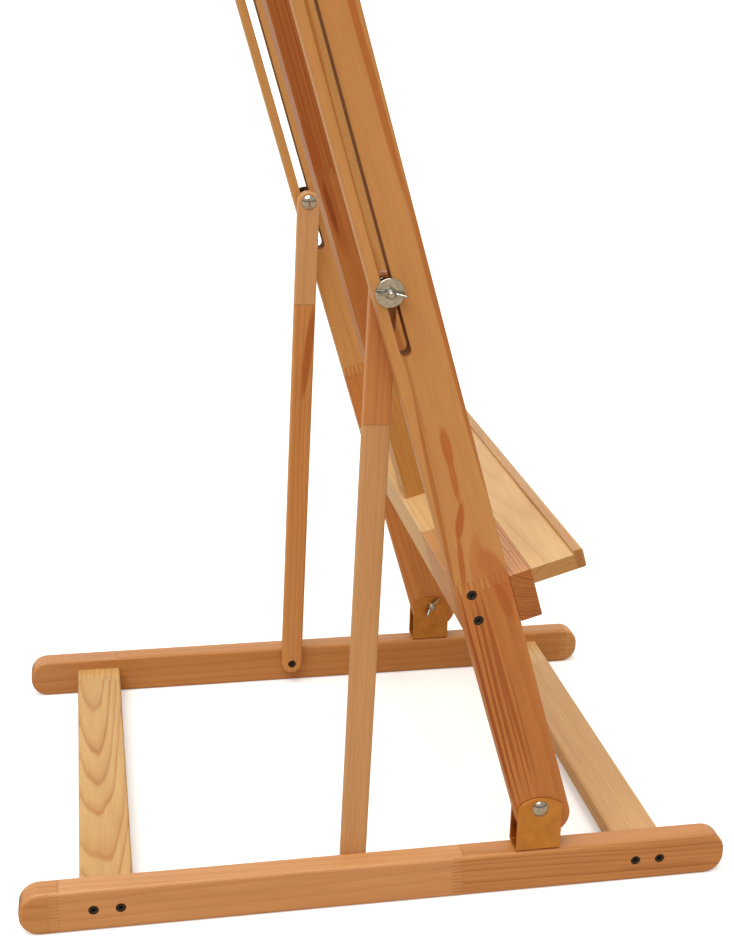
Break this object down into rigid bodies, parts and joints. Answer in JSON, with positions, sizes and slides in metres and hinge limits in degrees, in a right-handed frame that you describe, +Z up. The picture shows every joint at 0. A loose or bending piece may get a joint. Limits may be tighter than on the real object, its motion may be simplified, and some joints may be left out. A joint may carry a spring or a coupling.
{
  "type": "artist easel",
  "caption": "Floor-standing wooden studio easel: runner base, slotted frame that leans between two pivot brackets, two braces, tray and canvas holder.",
  "frame": {"origin": "on the floor, at the middle of the base between the two runners", "axes": "+Z up, -Y towards the painter (the tray side), +X to the painter's right as the painter faces the easel"},
  "size_m": [0.53, 0.7, 1.4424],
  "materials": {
    "pine": "planed pine under clear satin varnish",
    "pine_dark": "darker heartwood pine under clear satin varnish",
    "zinc": "bright zinc-plated steel",
    "yellow_zinc": "yellow-passivated zinc-plated sheet steel",
    "black_oxide": "black-oxide steel screws"
  },
  "bodies": {
    "base": {"left_runner": "pine", "right_runner": "pine", "front_cross_member": "pine", "rear_cross_member": "pine", "cross_member_screws": "black_oxide", "left_bracket": "yellow_zinc", "right_bracket": "yellow_zinc", "bracket_screws": "black_oxide", "pivot_bolts": "zinc", "brace_screws": "black_oxide"},
    "frame": {"left_upright": "pine", "right_upright": "pine", "lower_crossbar": "pine", "upper_crossbar": "pine", "crossbar_screws": "black_oxide", "mast": "pine_dark", "mast_screws": "black_oxide", "tray_bar": "pine_dark", "tray_shelf": "pine", "tray_screws": "black_oxide", "shelf_screws": "black_oxide"},
    "left_brace_arm": {"left_brace": "pine_dark", "left_slot_bolt": "zinc", "left_slot_washer": "zinc", "left_spacer_washer": "zinc"},
    "right_brace_arm": {"right_brace": "pine_dark", "right_slot_bolt": "zinc", "right_slot_washer": "zinc", "right_spacer_washer": "zinc"},
    "holder": {"holder_block": "pine", "holder_lip": "pine", "holder_lip_screws": "black_oxide", "holder_clamp": "pine_dark", "holder_bolts": "zinc", "holder_washers": "zinc"},
    "left_pivot_nut": {"left_pivot_wing_nut": "zinc"},
    "right_pivot_nut": {"right_pivot_wing_nut": "zinc"},
    "left_slot_nut": {"left_slot_wing_nut": "zinc"},
    "right_slot_nut": {"right_slot_wing_nut": "zinc"},
    "left_holder_nut": {"left_holder_wing_nut": "zinc"},
    "right_holder_nut": {"right_holder_wing_nut": "zinc"}
  },
  "joints": [
    {"name": "frame_tilt", "type": "hinge", "parent": "base", "child": "frame", "pos_m": [0, -0.152, 0.092], "axis": [-1, 0, 0], "range_deg": [-5.5, 11.5]},
    {"name": "left_brace_swing", "type": "hinge", "parent": "base", "child": "left_brace_arm", "pos_m": [-0.222, 0.0285, 0.028], "axis": [-1, 0, 0], "range_deg": [-5.5, 11.5]},
    {"name": "right_brace_swing", "type": "hinge", "parent": "base", "child": "right_brace_arm", "pos_m": [0.222, 0.0285, 0.028], "axis": [-1, 0, 0], "range_deg": [-5.5, 11.5]},
    {"name": "holder_slide", "type": "slide", "parent": "frame", "child": "holder", "axis": [0, 0.284, 0.9588], "range_m": [-0.36, 0.28]},
    {"name": "left_pivot_nut_turn", "type": "hinge", "parent": "base", "child": "left_pivot_nut", "pos_m": [-0.225, -0.152, 0.092], "axis": [1, 0, 0], "continuous": true},
    {"name": "right_pivot_nut_turn", "type": "hinge", "parent": "base", "child": "right_pivot_nut", "pos_m": [0.225, -0.152, 0.092], "axis": [-1, 0, 0], "continuous": true},
    {"name": "left_slot_nut_turn", "type": "hinge", "parent": "left_brace_arm", "child": "left_slot_nut", "pos_m": [-0.256, 0.01124, 0.60788], "axis": [-1, 0, 0], "continuous": true},
    {"name": "right_slot_nut_turn", "type": "hinge", "parent": "right_brace_arm", "child": "right_slot_nut", "pos_m": [0.256, 0.01124, 0.60788], "axis": [1, 0, 0], "continuous": true},
    {"name": "left_holder_nut_turn", "type": "hinge", "parent": "holder", "child": "left_holder_nut", "pos_m": [-0.027, 0.17129, 1.04961], "axis": [0, 0.9588, -0.284], "continuous": true},
    {"name": "right_holder_nut_turn", "type": "hinge", "parent": "holder", "child": "right_holder_nut", "pos_m": [0.027, 0.17129, 1.04961], "axis": [0, 0.9588, -0.284], "continuous": true}
  ],
  "couplings": [
    {"joint": "left_brace_swing", "follows": "frame_tilt", "ratio": 1},
    {"joint": "right_brace_swing", "follows": "frame_tilt", "ratio": 1}
  ]
}
